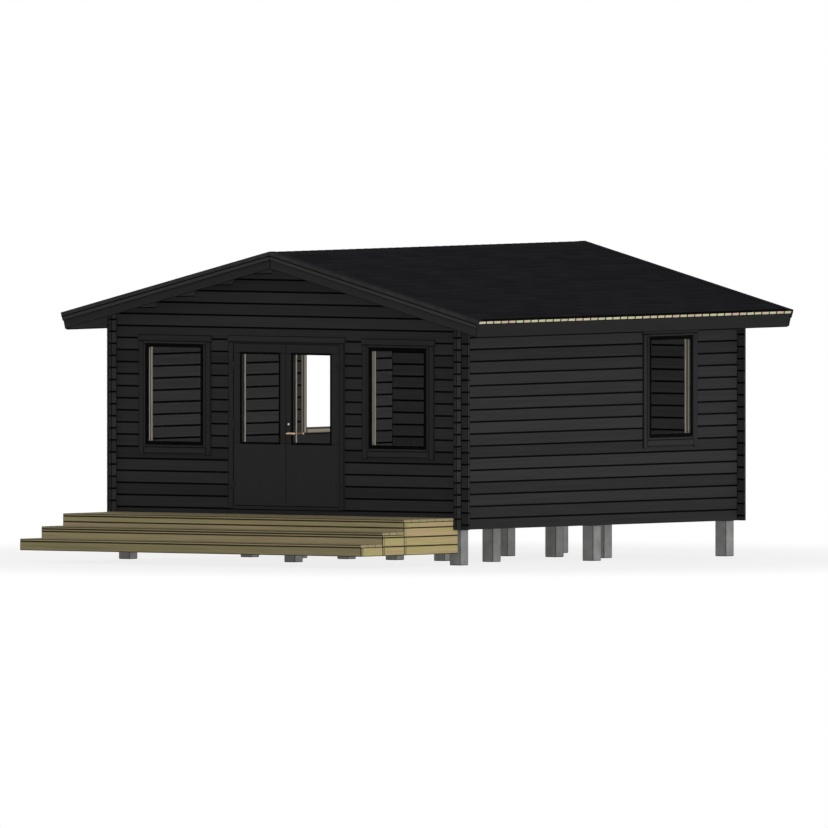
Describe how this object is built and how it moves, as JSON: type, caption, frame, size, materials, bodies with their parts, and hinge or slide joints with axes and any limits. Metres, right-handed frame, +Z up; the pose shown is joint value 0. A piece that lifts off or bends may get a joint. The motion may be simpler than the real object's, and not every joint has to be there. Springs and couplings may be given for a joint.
{
  "type": "log garden cabin",
  "caption": "Gabled log garden cabin on concrete piers, with interlocking log corners, glazed double door, casement windows, shingle roof and stepped timber landing.",
  "frame": {"origin": "middle of the whole footprint at ground level, under the piers", "axes": "+X to the right seen from the front, +Y from the front steps to the back wall, +Z up"},
  "size_m": [5.831, 7.343, 3.4817],
  "materials": {
    "stained_log": "black stained, matt",
    "stained_trim": "black stained, planed",
    "pine": "planed, untreated",
    "decking": "pressure treated",
    "concrete": "cast, bare",
    "shingle": "mineral surfaced bitumen",
    "sheet_metal": "folded, matt black",
    "window_glass": "clear",
    "lever_brass": "satin",
    "fitting_steel": "bright"
  },
  "bodies": {
    "cabin": {"perimeter_piers": "concrete", "inner_piers": "concrete", "end_bearers": "pine", "floor_joists": "pine", "floor_boards": "pine", "front_sill_logs": "stained_log", "front_wall_left": "stained_log", "front_wall_right": "stained_log", "front_gable_wall": "stained_log", "back_wall": "stained_log", "left_wall": "stained_log", "right_wall": "stained_log", "purlins": "stained_log", "left_roof_boards": "pine", "right_roof_boards": "pine", "left_roofing": "shingle", "right_roofing": "shingle", "eave_fascias": "stained_trim", "bargeboards": "stained_trim", "verge_boards": "stained_trim", "verge_flashings": "sheet_metal", "window_casings": "stained_trim", "window_sashes": "stained_trim", "window_linings": "pine", "window_panes": "window_glass", "door_side_casings": "stained_trim", "door_head_casing": "stained_trim", "door_jambs": "stained_trim", "door_head": "stained_trim", "door_threshold": "stained_trim", "frame_hinge_halves": "fitting_steel", "landing_boards": "decking", "tread_boards": "decking", "step_beams": "decking", "step_cheeks": "decking", "step_bearers": "decking"},
    "left_door": {"left_door_leaf": "stained_trim", "left_door_bead": "pine", "left_door_pane": "window_glass", "left_hinge_halves": "fitting_steel"},
    "right_door": {"right_door_leaf": "stained_trim", "right_door_bead": "pine", "right_door_pane": "window_glass", "right_hinge_halves": "fitting_steel", "lock_cylinder": "fitting_steel"},
    "handle": {"door_handle": "lever_brass"}
  },
  "joints": [
    {"name": "left_door_swing", "type": "hinge", "parent": "cabin", "child": "left_door", "pos_m": [-0.73, -1.907, 1.5], "axis": [0, 0, -1], "range_deg": [0, 100]},
    {"name": "right_door_swing", "type": "hinge", "parent": "cabin", "child": "right_door", "pos_m": [0.73, -1.907, 1.5], "axis": [0, 0, 1], "range_deg": [0, 100]},
    {"name": "handle_turn", "type": "hinge", "parent": "right_door", "child": "handle", "pos_m": [0.04392, -1.8665, 1.4415], "axis": [0, 1, 0], "range_deg": [0, 40], "stiffness_Nm_per_rad": 1.5}
  ]
}
